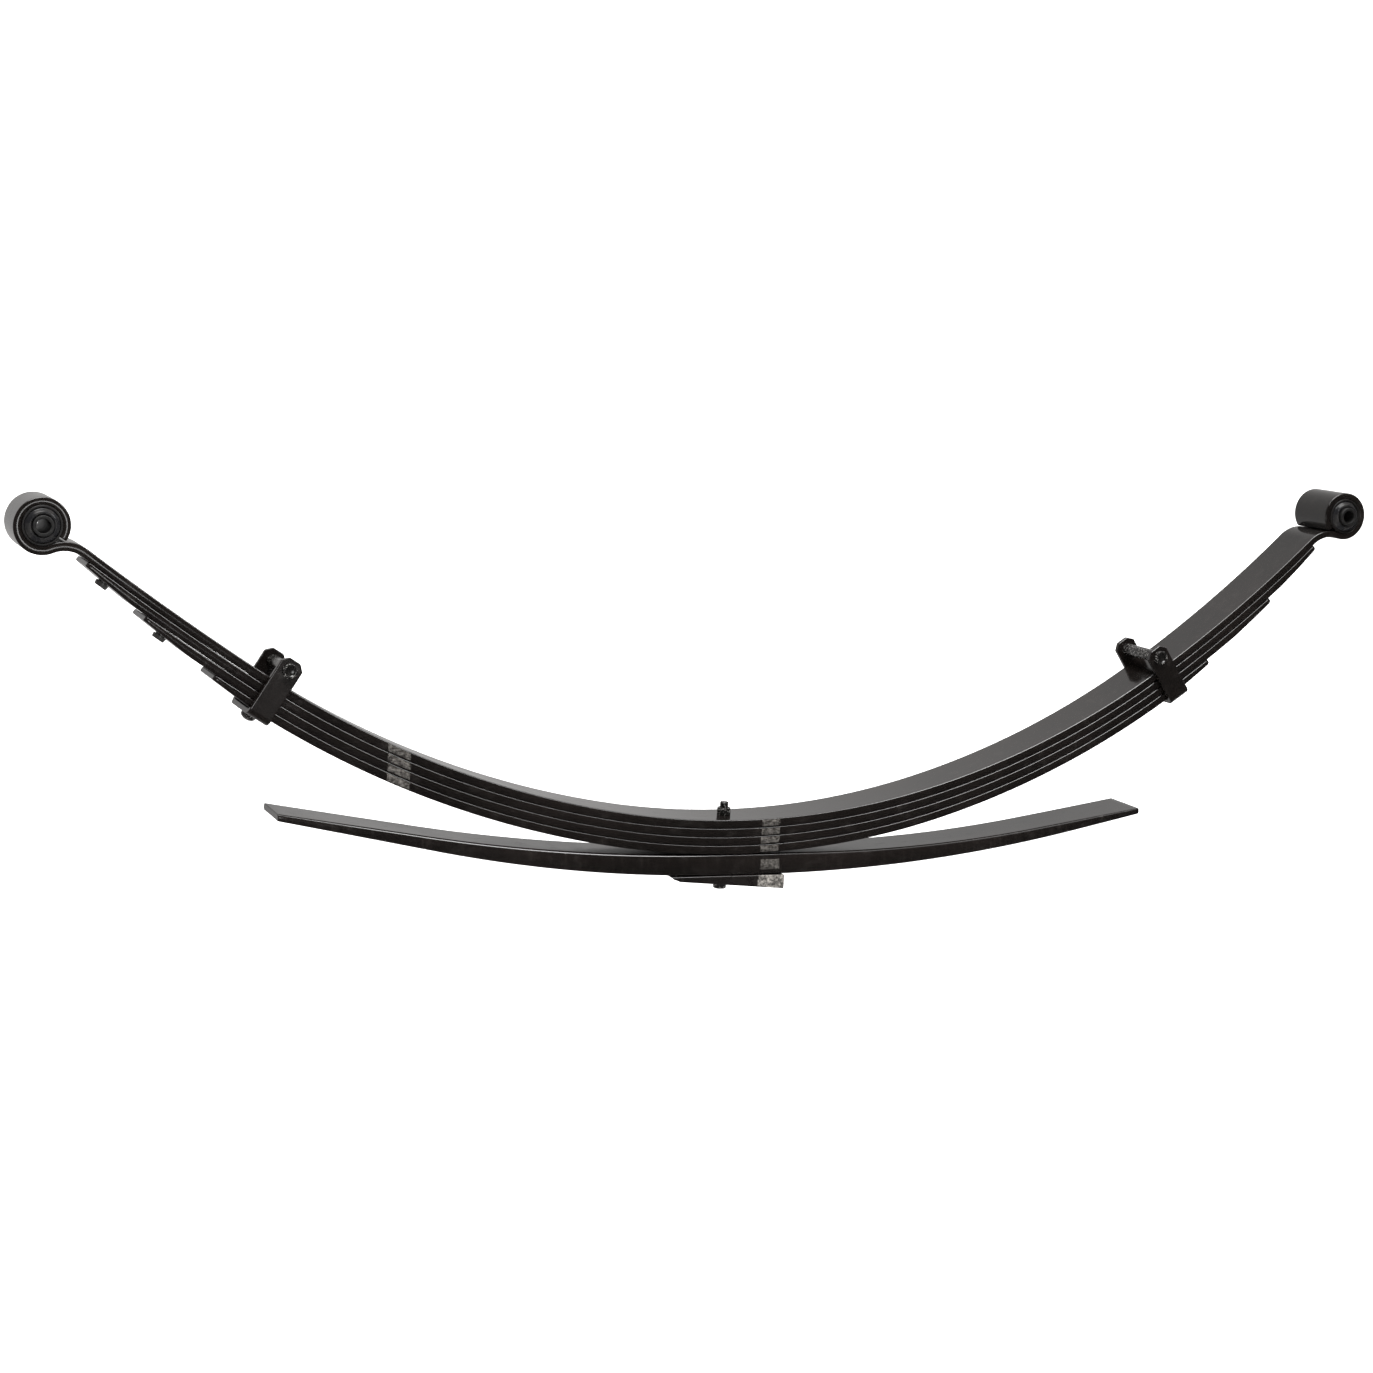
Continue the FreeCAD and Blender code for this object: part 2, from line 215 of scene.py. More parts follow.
def skin(loops, closed=False):
    """Points and faces of a skin over equal loops, capped unless it closes on itself."""
    size, points, faces = len(loops[0]), [p for loop in loops for p in loop], []
    rows = len(loops)
    for i in range(rows if closed else rows - 1):
        a, b = i * size, (i + 1) % rows * size
        for j in range(size):
            k = (j + 1) % size
            faces.append((a + j, a + k, b + k, b + j))
    if not closed:
        faces += [tuple(range(size)), tuple(range((rows - 1) * size, rows * size))]
    return points, faces


def bar_loop(wide, top, bottom, shoulder, side_share, inset=0.0):
    """(y, off) loop of a rolled bar: flat faces, bulging sides, rounded shoulders.

    side_share is the radius of the bulging sides over the bar's thickness.
    """
    thick = top - bottom
    big = side_share * thick
    rise = thick / 2 - shoulder
    run = math.sqrt((big - shoulder) ** 2 - rise ** 2)
    lean = math.atan2(rise, run)
    edge = [(run - big - 0.8, thick / 2)]       # keeps the flat face's shading flat
    for i in range(5):
        a = math.pi / 2 + (lean - math.pi / 2) * i / 4
        edge.append((run - big + shoulder * math.cos(a), rise + shoulder * math.sin(a)))
    for i in range(1, 4):
        a = lean * (1 - i / 4)
        edge.append((big * math.cos(a) - big, big * math.sin(a)))
    edge.append((0, 0))
    edge += [(reach, -height) for reach, height in reversed(edge[:-1])]
    middle, squeeze = (top + bottom) / 2, 1 - 2 * inset / thick
    right = [(wide / 2 + reach - inset, middle + height * squeeze) for reach, height in edge]
    return right + [(-y, off) for y, off in reversed(right)]


def end_steps(radius):
    """(setback, inset) pairs that round a bar's end over to its end face."""
    return [(radius * (1 - math.sin(a)), radius * (1 - math.cos(a)))
            for a in (math.pi / 2 * i / 4 for i in range(5))]


def rounded(corners, radii, steps=4, guard=0.0):
    """Closed outline with each corner rounded by its radius.

    guard adds a point that far beyond each arc, so that flat sides stay flat in shading.
    """
    out, count = [], len(corners)
    for i, corner in enumerate(corners):
        corner, radius = Vector(corner), radii[i] if isinstance(radii, list) else radii
        before = (Vector(corners[i - 1]) - corner).normalized()
        after = (Vector(corners[(i + 1) % count]) - corner).normalized()
        half = before.angle(after) / 2
        center = corner + (before + after).normalized() * (radius / math.sin(half))
        start = corner + before * (radius / math.tan(half)) - center
        finish = corner + after * (radius / math.tan(half)) - center
        if guard:
            out.append(center + start + before * guard)
        whole = start.angle(finish)
        for k in range(steps + 1):
            t = k / steps
            out.append(center + (start * math.sin((1 - t) * whole)
                                 + finish * math.sin(t * whole)) / math.sin(whole))
        if guard:
            out.append(center + finish + after * guard)
    return out


def around(ring, angle):
    """Points of a (radius, height) ring outline at an angle about Z."""
    return [Vector((r * math.cos(angle), r * math.sin(angle), h)) for r, h in ring]


def revolve(name, outline, place, material, slot, turns=72, sharp=28):
    """Ring of a closed (radius, height) outline, turned about place's Z.

    outline is a list, or a function of the angle that gives one.
    """
    loops, rest = [], []
    for i in range(turns):
        angle = math.tau * i / turns
        ring = around(outline(angle) if callable(outline) else outline, angle)
        loops.append([place @ p for p in ring])
        rest += ring
    points, faces = skin(loops, closed=True)
    return piece(name, points, faces, material, slot, rest, sharp)


def turned(name, outline, place, material, slot, turns=72, sharp=28):
    """Solid of an open (radius, height) outline from axis to axis, about place's Z."""
    first, last = outline(0.0)[0][1], outline(0.0)[-1][1]
    loops = []
    for i in range(turns):
        angle = math.tau * i / turns
        loops.append(around(outline(angle)[1:-1], angle))
    size = len(loops[0])
    rest, faces = [p for loop in loops for p in loop], []
    for i in range(turns):
        a, b = i * size, (i + 1) % turns * size
        faces += [(a + j, a + j + 1, b + j + 1, b + j) for j in range(size - 1)]
        faces += [(a, b, turns * size), (a + size - 1, turns * size + 1, b + size - 1)]
    rest += [Vector((0, 0, first)), Vector((0, 0, last))]
    return piece(name, [place @ p for p in rest], faces, material, slot, rest, sharp)


def ride(obj, body, *nodes):
    """obj stands for the CAD nodes and moves with their body."""
    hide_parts(*nodes)
    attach(obj, body)


# ------------------------------------------------------------------ materials


class Nodes:
    """Short way to write a material's node tree."""

    def __init__(self, name):
        self.material = bpy.data.materials.new(name)
        self.material.use_nodes = True
        self.tree = self.material.node_tree
        self.shader = self.tree.nodes["Principled BSDF"]
        rest = self.tree.nodes.new("ShaderNodeAttribute")
        rest.attribute_name = "rest"
        self.rest = rest.outputs["Vector"]

    def node(self, kind, inputs=None, **settings):
        """New node; inputs maps a socket's name or number to a value or an output."""
        node = self.tree.nodes.new("ShaderNode" + kind)
        for key, value in settings.items():
            setattr(node, key, value)
        for key, value in (inputs or {}).items():
            self.put(node.inputs[key], value)
        return node

    def put(self, socket, value):
        if isinstance(value, bpy.types.NodeSocket):
            self.tree.links.new(value, socket)
        else:
            socket.default_value = value

    def math(self, operation, *values):
        return self.node("Math", dict(enumerate(values)), operation=operation).outputs[0]

    def stretched(self, scale):
        """The surface place, scaled along each of its axes."""
        return self.node("Mapping", {"Vector": self.rest, "Scale": scale}).outputs[0]

    def noise(self, scale, detail=3.0, rough=0.55, along=(1, 1, 1)):
        return self.node("TexNoise", {"Vector": self.stretched(along), "Scale": scale,
                                      "Detail": detail, "Roughness": rough}).outputs[0]

    def step(self, value, low, high):
        """0 below low to 1 above high, smoothly."""
        node = self.node("MapRange", {0: value, 1: low, 2: high, 3: 0.0, 4: 1.0},
                         interpolation_type="SMOOTHSTEP")
        return node.outputs[0]

    def mix(self, share, a, b):
        node = self.node("Mix", {0: share, 6: a, 7: b}, data_type="RGBA")
        return node.outputs[2]

    def blend(self, share, a, b):
        node = self.node("Mix", {0: share, 2: a, 3: b}, data_type="FLOAT")
        return node.outputs[0]

    def finish(self, color, roughness, height, strength, distance=0.0001):
        """Sets the shader's colour, roughness and bump; returns the material."""
        bump = self.node("Bump", {"Height": height, "Strength": strength,
                                  "Distance": distance})
        self.put(self.shader.inputs["Base Color"], color)
        self.put(self.shader.inputs["Roughness"], roughness)
        self.put(self.shader.inputs["Normal"], bump.outputs[0])
        return self.material


def paint(name, rough=0.13, peel=0.06, streaks=0.0, patches=()):
    """Glossy black chassis paint with a fine orange peel.

    streaks is the amount of dull drips. patches are (x start, x end, amount) spans in
    metres where the bar's near edge was scuffed back to grey primer.
    """
    n = Nodes(name)
    cloud = n.noise(11.0, 4.0, 0.6)
    dust = n.step(n.noise(75.0, 3.0, 0.6), 0.52, 0.80)
    color = n.mix(n.step(cloud, 0.35, 0.68), (0.0046, 0.0038, 0.0034, 1),
                  (0.0072, 0.0056, 0.0050, 1))
    color = n.mix(n.math("MULTIPLY", dust, 0.04), color, (0.17, 0.15, 0.135, 1))
    roughness = n.blend(n.step(cloud, 0.3, 0.7), rough - 0.02, rough + 0.04)
    roughness = n.blend(dust, roughness, rough + 0.10)
    if streaks:
        drips = n.step(n.noise(330.0, 3.0, 0.6, (1, 0.05, 0.12)), 0.52, 0.78)
        color = n.mix(n.math("MULTIPLY", drips, streaks), color, (0.07, 0.06, 0.052, 1))
    if patches:
        split = n.node("SeparateXYZ", {0: n.rest})
        near = n.step(n.math("MULTIPLY", split.outputs[1], -1.0),
                      (HALF - 0.7) * MM, (HALF - 0.4) * MM)
        ragged = n.math("MULTIPLY", n.math("SUBTRACT", n.noise(240.0, 3.0, 0.6), 0.5),
                        0.004)
        x = n.math("ADD", split.outputs[0], ragged)
        mask = 0.0
        for start, end, amount in patches:
            inside = n.math("MULTIPLY", n.step(x, start - 0.0005, start + 0.0005),
                            n.math("SUBTRACT", 1.0, n.step(x, end - 0.0005, end + 0.0005)))
            mask = n.math("ADD", n.math("MULTIPLY", inside, amount), mask)
        smear = n.noise(170.0, 5.0, 0.68, (1, 1, 2.2))
        mask = n.math("MULTIPLY", n.math("MULTIPLY", mask, near),
                      n.blend(n.step(smear, 0.36, 0.60), 0.30, 1.0))
        grey = n.mix(n.step(n.noise(420.0, 4.0, 0.65), 0.34, 0.72), (0.050, 0.045, 0.040, 1),
                     (0.33, 0.31, 0.28, 1))
        color = n.mix(mask, color, grey)
        roughness = n.blend(mask, roughness, 0.7)
    return n.finish(color, roughness, n.noise(300.0, 2.0, 0.5), peel, 0.00012)


def rubber(name):
    """Moulded rubber, nearly black, with a faint bloom."""
    n = Nodes(name)
    bloom = n.step(n.noise(120.0, 4.0, 0.6), 0.42, 0.72)
    n.shader.inputs["Specular IOR Level"].default_value = 0.14
    return n.finish(n.mix(bloom, (0.010, 0.010, 0.011, 1), (0.028, 0.027, 0.026, 1)),
                    n.blend(bloom, 0.14, 0.26), n.noise(500.0, 3.0, 0.6), 0.1)


def steel(name, base, rough, chips_and_glints=0.0):
    """Blackened steel with turning marks round its axis.

    chips_and_glints is the amount of light flecks outside a shank's radius: partly bare
    chipped metal, partly painted glints standing in for highlights on the rims of heads and
    nuts.
    """
    n = Nodes(name)
    split = n.node("SeparateXYZ", {0: n.rest})
    marks = n.node("TexNoise", {"W": split.outputs[2], "Scale": 1800.0, "Detail": 2.0},
                   noise_dimensions="1D").outputs[0]
    stain = n.step(n.noise(150.0, 5.0, 0.65), 0.45, 0.75)
    color = n.mix(stain, base, tuple(c * 2.2 for c in base[:3]) + (1,))
    radius = n.node("VectorMath", {0: n.stretched((1, 1, 0))},
                    operation="LENGTH").outputs["Value"]
    # Light flecks outside a shank's radius: bare chipped metal, and painted glints in place
    # of highlights on the rims of heads and nuts.
    chips_and_glints_mask = n.math("MULTIPLY", n.step(n.noise(520.0, 3.0, 0.6), 0.54, 0.62),
                     n.step(radius, 0.0048, 0.0056))
    color = n.mix(n.math("MULTIPLY", chips_and_glints_mask, chips_and_glints), color, (0.42, 0.41, 0.39, 1))
    n.shader.inputs["Metallic"].default_value = 0.35
    height = n.math("ADD", n.math("MULTIPLY", marks, 0.6), n.noise(600.0, 3.0, 0.6))
    return n.finish(color, n.blend(stain, rough, rough + 0.18), height, 0.25)


def plastic(name):
    """Dark moulded plastic with a faint grain."""
    n = Nodes(name)
    tone = n.noise(200.0, 3.0, 0.6)
    return n.finish(n.mix(tone, (0.020, 0.020, 0.020, 1), (0.05, 0.048, 0.045, 1)),
                    n.blend(tone, 0.18, 0.3), n.noise(1100.0, 2.0, 0.5), 0.2)


leaf_paint = paint("leaf_paint", patches=[(-0.384, -0.360, 0.46), (0.032, 0.053, 0.42)])
overload_paint = paint("overload_paint", 0.17, streaks=0.12,
                       patches=[(0.033, 0.055, 0.36)])
wedge_paint = paint("wedge_paint", 0.24, patches=[(0.031, 0.065, 1.0)])
clip_paint = paint("clip_paint", 0.16, 0.03)
# Its light flecks are partly painted glints on the rims of the heads and nuts.
fastener = steel("fastener_black", (0.009, 0.0085, 0.008, 1), 0.15, 0.45)
sleeve_steel = steel("sleeve_steel", (0.010, 0.0098, 0.0095, 1), 0.5)
shell_paint = paint("shell_paint", 0.45)
rubber_skin = rubber("bushing_rubber")
insert_skin = plastic("insert_plastic")

# ------------------------------------------------------------------ leaves


def places_along(end, last):
    """Distances from 0 to last, closer together where the line turns tightly."""
    out, low = [0], 0
    for length, curve in spans(end):
        reach = min(length, last - low)
        if reach <= 0:
            break
        count = math.ceil(max(reach / 7, reach * abs(curve) / 0.06))
        out += [low + reach * (i + 1) / count for i in range(count)]
        low += length
    return out


def leaf_half(name, end):
    """One end of a leaf, from the centre bolt to its eye or tip."""
    main = name == "main_leaf"
    last = sum(length for length, _ in spans(end)) if main else TIPS[name][end]
    round_off, corner = (0.8, 0) if main else (1.1, 2.5)
    plain = [s for s in places_along(end, last) if s < last - corner - round_off]
    stations = [(s, 0.0, 0.0) for s in plain]
    if corner:
        for i in range(4):
            a = math.pi / 2 * i / 4
            stations.append((last - round_off - corner * (1 - math.sin(a)), 0.0,
                             corner * (1 - math.cos(a))))
    for setback, inset in end_steps(round_off):
        stations.append((last - setback, inset, corner * 0.6))
    stations.append((last, round_off + 0.6, corner * 0.6))
    loops = []
    for s, inset, narrowed in stations:
        top, bottom = leaf_faces(name, end, s)
        loop = bar_loop(WIDTH - 2 * narrowed, top, bottom, LEAF_SHOULDER, LEAF_SIDE, inset)
        loops.append([at(end, s, off, y) for y, off in loop])
    points, faces = skin(loops)
    half = piece(f"{end}_{name}", points, faces, leaf_paint, "leaf_paint")
    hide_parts(name)
    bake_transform(half)


def overload_height(x, level, face):
    """Height of the overload leaf's upper (face 0) or lower (face 1) side at x."""
    side = -1 if x < 0 else 1
    flat, bend_to, slope = OVERLOAD_FACES[side][face]
    out = abs(x)
    if out <= flat:
        return level
    if out <= bend_to:
        return level + (out - flat) ** 2 * slope / (2 * (bend_to - flat))
    return level + (bend_to - flat) * slope / 2 + (out - bend_to) * slope


def overload_leaf():
    """Thick bar under the leaves, tapering to square ends."""
    count = 150
    xs = [(-OVERLOAD_LEN + 1.5) + (2 * OVERLOAD_LEN - 3) * i / count
          for i in range(1, count)]
    ends = end_steps(BAR_END_R) + [(0.0, CAP_INSET)]
    stations = ([(-OVERLOAD_LEN + setback, inset) for setback, inset in reversed(ends)]
                + [(x, 0.0) for x in xs]
                + [(OVERLOAD_LEN - setback, inset) for setback, inset in ends])
    top_level = WEDGE_MID + OVERLOAD_T
    loops = []
    for x, inset in stations:
        top = overload_height(x, top_level, 0)
        bottom = overload_height(x, WEDGE_MID, 1)
        shoulder = min(OVERLOAD_SHOULDER, OVERLOAD_SHARE * (top - bottom))
        loop = bar_loop(WIDTH, top, bottom, shoulder, OVERLOAD_SIDE, inset)
        loops.append([Vector((x, y, z)) for y, z in loop])
    points, faces = skin(loops)
    bar = piece("overload_bar", points, faces, overload_paint, "leaf_paint")
    ride(bar, "spring_pack", "overload_leaf")


def taper_wedge():
    """Caster wedge with broken edges and a hole for the bolt's head."""
    slope = math.tan(math.radians(WEDGE_ANGLE))
    thin_x = -WEDGE_FRONT + WEDGE_BEVEL
    level = WEDGE_MID - 0.02
    corners = [(-WEDGE_FRONT, level), (thin_x, -thin_x * slope),
               (WEDGE_REAR, -WEDGE_REAR * slope), (WEDGE_REAR, level)]
    outline = rounded(corners, [0.4, 1.5, 1.2, 1.5], 4, 0.5)
    middle = Vector((sum(x for x, _ in corners) / 4, sum(z for _, z in corners) / 4))
    rows = [(-HALF, CAP_INSET)]
    rows += [(-HALF + setback, inset) for setback, inset in reversed(end_steps(BAR_END_R))]
    rows += [(-HALF + CAP_INSET, 0.0)]
    rows += [(-y, inset) for y, inset in reversed(rows)]
    half_x, half_z = WEDGE_REAR + 3, 5.0
    loops = [[Vector((middle.x + (p.x - middle.x) * (1 - inset / half_x), y,
                      middle.y + (p.y - middle.y) * (1 - inset / half_z)))
              for p in outline] for y, inset in rows]
    points, faces = skin(loops)
    wedge = piece("caster_wedge", points, faces, wedge_paint, "leaf_paint", sharp=24)
    tool = turned("hole_tool", lambda a: [(0, -20), (HEAD_ROOM_R, -20), (HEAD_ROOM_R, 20),
                                          (0, 20)],
                  Matrix.Identity(4), wedge_paint, "leaf_paint")
    cut = wedge.modifiers.new("hole", "BOOLEAN")
    cut.object, cut.operation, cut.solver = tool, "DIFFERENCE", "EXACT"
    bpy.context.view_layer.update()
    solid = bpy.data.meshes.new_from_object(
        wedge.evaluated_get(bpy.context.evaluated_depsgraph_get()))
    wedge.modifiers.clear()
    wedge.data = solid
    bpy.data.objects.remove(tool)
    places = solid.attributes["rest"].data
    places.foreach_set("vector", [c for v in solid.vertices for c in v.co])
    ride(wedge, "spring_pack", "taper_wedge")


# ------------------------------------------------------------------ fasteners


def threaded(radius, angle, height, depth):
    """Radius of a right-hand thread's surface at an angle and height."""
    phase = (height / PITCH - angle / math.tau) % 1.0
    return radius - depth * min(1.0, max(0.0, 2.6 * abs(phase - 0.5) - 0.15))


def shank(radius, low, high, thread_from, depth):
    """Outline function of a bolt's shank with a cut thread and a chamfered end."""
    chamfer, per_turn = 0.9, 7
    count = math.ceil((high - thread_from) / PITCH * per_turn)

    def outline(angle):
        ring = [(radius - FIT_GAP, low), (radius - FIT_GAP, thread_from)]
        for i in range(1, count + 1):
            h = thread_from + (high - thread_from) * i / count
            r = threaded(radius, angle, h, depth)
            ring.append((min(r, radius - chamfer + max(0.0, high - h)), h))
        return ring
    return outline


def hex_radius(flats, angle):
    """Distance from the axis to a hexagon's side at an angle."""
    local = (angle + math.pi / 6) % (math.pi / 3) - math.pi / 6
    return flats / 2 / math.cos(local)


def hex_nut(name, flats, height, bore, place, both=True):
    """Hexagon nut with chamfered corners and a countersunk bore."""
    ring = flats / 2 * 0.97
    slope = math.tan(math.radians(28))

    def outline(angle):
        r = hex_radius(flats, angle)
        drop = (r - ring) * slope
        low = drop if both else 0.0
        return [(bore + 0.9, 0), (ring, 0), (r - 0.001, low), (r, low + 0.002),
                (r, height - drop - 0.002), (r - 0.001, height - drop), (ring, height),
                (bore + 0.9, height), (bore, height - 0.9), (bore, 0.9)]
    return revolve(name, outline, place, fastener, "fastener_black", 96)


def center_fasteners():
    """Centre bolt, its head down in the wedge, and the nut on the main leaf."""
    top = TOP_Z + BOLT_TOP
    body = shank(BOLT_R, WEDGE_MID, top, TOP_Z + 1, BOLT_THREAD)

    def outline(angle):
        head = [(0, -HEAD_TO), (HEAD_R - 1.6, -HEAD_TO), (HEAD_R - 1.0, -HEAD_TO + 0.12),
                (HEAD_R - 0.25, -HEAD_TO + 0.75), (HEAD_R, -HEAD_TO + 1.4),
                (HEAD_R, -HEAD_FROM), (NECK_R, -HEAD_FROM + 0.3), (NECK_R, WEDGE_MID)]
        stem = body(angle)
        return head + stem + [(0, stem[-1][1])]
    bolt = turned("center_bolt_turned", outline, Matrix.Identity(4), fastener,
                  "fastener_black", 96, 24)
    ride(bolt, "spring_pack", "center_bolt")
    base = (Matrix.Translation((0, 0, TOP_Z + 0.1))
            @ Matrix.Rotation(math.radians(NUT_TURN), 4, "Z"))
    nut = hex_nut("center_nut_hex", NUT_FLATS, NUT_H, BOLT_R + 0.02, base, both=False)
    ride(nut, "spring_pack", "center_nut")


# ------------------------------------------------------------------ bushings


def tube(name, outer, inner, reach, edges, place, material, slot, turns=72):
    """Plain tube between -reach and reach, its edges rounded."""
    corners = [(outer, -reach), (outer, reach), (inner, reach), (inner, -reach)]
    return revolve(name, [tuple(p) for p in rounded(corners, edges)], place, material,
                   slot, turns)


def bushing(end):
    """Outer shell, moulded rubber and inner sleeve of one eye."""
    place = Matrix.Translation(eye_center(end)) @ Matrix.Rotation(math.pi / 2, 4, "X")
    shell_r = EYE_R - FIT_GAP
    rubber_r = shell_r - SHELL_WALL
    shell = tube(f"{end}_shell_tube", shell_r, rubber_r, HALF, 0.55, place, shell_paint,
                 "bushing_steel", 96)
    ride(shell, f"{end}_eye", f"{end}_bushing_shell")

    inner = SLEEVE_R + FIT_GAP
    crest = HALF + RUBBER_OUT
    face = [(rubber_r, HALF - 1.6), (rubber_r - 0.5, HALF - 0.6),
            (rubber_r - 1.1, HALF - 0.1), (rubber_r - 1.7, HALF + 0.5),
            (rubber_r - 2.3, HALF + 1.5), (rubber_r - 3.0, crest - 1.0),
            (rubber_r - 3.7, crest - 0.35), (rubber_r - 4.4, crest - 0.08),
            (rubber_r - 5.0, crest), (rubber_r - 5.6, crest - 0.15),
            (rubber_r - 6.1, crest - 0.55), (rubber_r - 6.5, crest - 1.2),
            (rubber_r - 6.85, crest - 2.1), (inner, crest - 3.2)]
    outline = [(r, -h) for r, h in reversed(face)] + face
    soft = revolve(f"{end}_rubber_ring", outline, place, rubber_skin, "bushing_rubber",
                   96, 40)
    ride(soft, f"{end}_eye", f"{end}_bushing_rubber")

    sleeve = tube(f"{end}_sleeve_tube", SLEEVE_R, SLEEVE_IN_R, SLEEVE_LEN / 2,
                  [0.7, 0.7, 0.5, 0.5], place, sleeve_steel, "bushing_steel", 96)
    ride(sleeve, f"{end}_sleeve", f"{end}_bushing_sleeve")


# ------------------------------------------------------------------ clips and inserts


def clip_strap(end, place, level):
    """Bent strap: two ears with cut corners, two bends and a floor below level."""
    bend = STRAP_BEND + CLIP_T / 2
    wall = HALF + CLIP_SIDE_GAP + CLIP_T / 2
    low = level - CLIP_T / 2
    # Stations of the near side: place on the strap's middle, outward way, inset.
    near = [((-wall, EAR_TOP - setback), (-1, 0), inset)
            for setback, inset in reversed(end_steps(EAR_END_R))]
    for z in (EAR_TOP - 3, EAR_TOP - EAR_CUT, EAR_TOP - EAR_CUT - 0.4, 0, low + bend + 0.5):
        near.append(((-wall, z), (-1, 0), 0.0))
    for i in range(9):
        a = math.pi / 2 * i / 8
        out = (-math.cos(a), -math.sin(a))
        near.append(((-wall + bend + bend * out[0], low + bend + bend * out[1]), out, 0.0))
    across = [(((wall - bend) * (i / 4 - 1), low), (0, -1), 0.0) for i in range(1, 8)]
    far = [((-y, z), (-ny, nz), inset) for (y, z), (ny, nz), inset in reversed(near)]
    loops = []
    for (y, z), (ny, nz), inset in near + across + far:
        cut = max(0.0, z - (EAR_TOP - EAR_CUT)) if abs(y) > HALF else 0.0
        wide, thick = CLIP_W / 2 - cut - inset, CLIP_T / 2 - inset
        corners = [(-wide, -thick), (wide, -thick), (wide, thick), (-wide, thick)]
        loop = rounded(corners, 0.9 if thick > 1.9 else 0.7, 3, 0.5)
        loops.append([place @ Vector((u, y + ny * v, z + nz * v)) for u, v in loop])
    points, faces = skin(loops)
    strap = piece(f"{end}_strap_bent", points, faces, clip_paint, "clip_paint", sharp=24)
    ride(strap, f"{end}_clip", f"{end}_clip_strap")


def clip_fasteners(end, place, level):
    """Bolt with a dished head, nut, spacer tube, and domed rivet up through the floor."""
    body = f"{end}_clip"
    wall_in = HALF + CLIP_SIDE_GAP
    wall_out = wall_in + CLIP_T
    # The bolt's place, its local Z along +Y.
    axis = (place @ Matrix.Translation((0, 0, CLIP_BOLT_OFF))
            @ Matrix.Rotation(-math.pi / 2, 4, "X"))
    low, high = -wall_out - CLIP_HEAD_H, wall_out + CLIP_NUT_H + 3
    stem = shank(CLIP_BOLT_R, -wall_out, high, wall_in, CLIP_THREAD)

    def outline(angle):
        head = [(0, low + 1.5), (3.6, low + 1.5), (4.3, low + 1.3), (5.0, low + 0.5),
                (5.4, low + 0.1), (5.9, low), (6.5, low + 0.1), (7.1, low + 0.45),
                (7.45, low + 0.95), (CLIP_HEAD_R, low + 1.6), (CLIP_HEAD_R, -wall_out)]
        ring = stem(angle)
        return head + ring + [(0, ring[-1][1])]
    bolt = turned(f"{end}_clip_screw", outline, axis, fastener, "fastener_black", 72, 24)
    ride(bolt, body, f"{end}_clip_bolt")
    nut = hex_nut(f"{end}_clip_hex", CLIP_NUT_FLATS, CLIP_NUT_H, CLIP_BOLT_R + 0.02,
                  axis @ Matrix.Translation((0, 0, wall_out)))
    ride(nut, body, f"{end}_clip_nut")
    spacer = tube(f"{end}_spacer_tube", SPACER_R, CLIP_BOLT_R + FIT_GAP, wall_in, 0.4,
                  axis, fastener, "fastener_black")
    ride(spacer, body, f"{end}_clip_spacer")

    under = level - CLIP_T
    dome = [(0, under - RIVET_HEAD_H)]
    for i in range(1, 13):
        a = math.pi / 2 * i / 12
        dome.append((RIVET_HEAD_R * math.sin(a) ** 0.9,
                     under - RIVET_HEAD_H * math.cos(a) ** 0.85))
    dome += [(RIVET_R, under), (RIVET_R, level + RIVET_RISE - 0.6),
             (RIVET_R - 0.6, level + RIVET_RISE), (0, level + RIVET_RISE)]
    rivet = turned(f"{end}_rivet_domed", lambda angle: dome, place, fastener,
                   "fastener_black", 64, 32)
    ride(rivet, body, f"{end}_clip_rivet")


def clip(end):
    """Rebound clip of one end."""
    s = CLIP_S[end]
    place = square_place(end, s)
    level = -4 * thickness(end, s) - 3 * LEAF_GAP - CLIP_UNDER_GAP
    clip_strap(end, place, level)
    clip_fasteners(end, place, level)


def tip_insert(name, end):
    """Anti-friction insert: flat head on the leaf's tip and a hollow button below."""
    s = TIPS[name][end] - INSERT_IN
    top, bottom = leaf_faces(name, end, s)
    head = top - INSERT_CLEAR
    under = head - (top - bottom) - 0.5
    place = square_place(end, s)
    low = under - INSERT_BUTTON_H
    outline = [(0, head), (INSERT_HEAD_R - 0.4, head), (INSERT_HEAD_R, head - 0.4),
               (INSERT_HEAD_R, head - INSERT_HEAD_T), (INSERT_STEM_R, head - INSERT_HEAD_T),
               (INSERT_STEM_R, under), (INSERT_BUTTON_R - 0.1, under),
               (INSERT_BUTTON_R, under - 0.35), (INSERT_BUTTON_R - 0.45, low + 0.9),
               (INSERT_BUTTON_R - 0.8, low + 0.25), (INSERT_BUTTON_R - 1.3, low),
               (INSERT_HOLLOW_R + 0.35, low), (INSERT_HOLLOW_R, low + 0.35),
               (INSERT_HOLLOW_R - 0.1, under - 0.8), (0, under - 0.8)]
    button = turned(f"{end}_{name[:-5]}_button", lambda angle: outline, place,
                    insert_skin, "insert_plastic", 48, 32)
    ride(button, f"{end}_eye", f"{end}_{name[:-5]}_tip_insert")


for end in SIDES:
    for leaf in LEAVES:
        leaf_half(leaf, end)
    bushing(end)
    clip(end)
    tip_insert("second_leaf", end)
    tip_insert("third_leaf", end)
overload_leaf()
taper_wedge()
center_fasteners()

# ------------------------------------------------------------------ floor, light, camera


def aim(obj, target):
    """Turns obj's -Z to the target point."""
    obj.rotation_euler = (Vector(target) - obj.location).to_track_quat("-Z", "Y").to_euler()


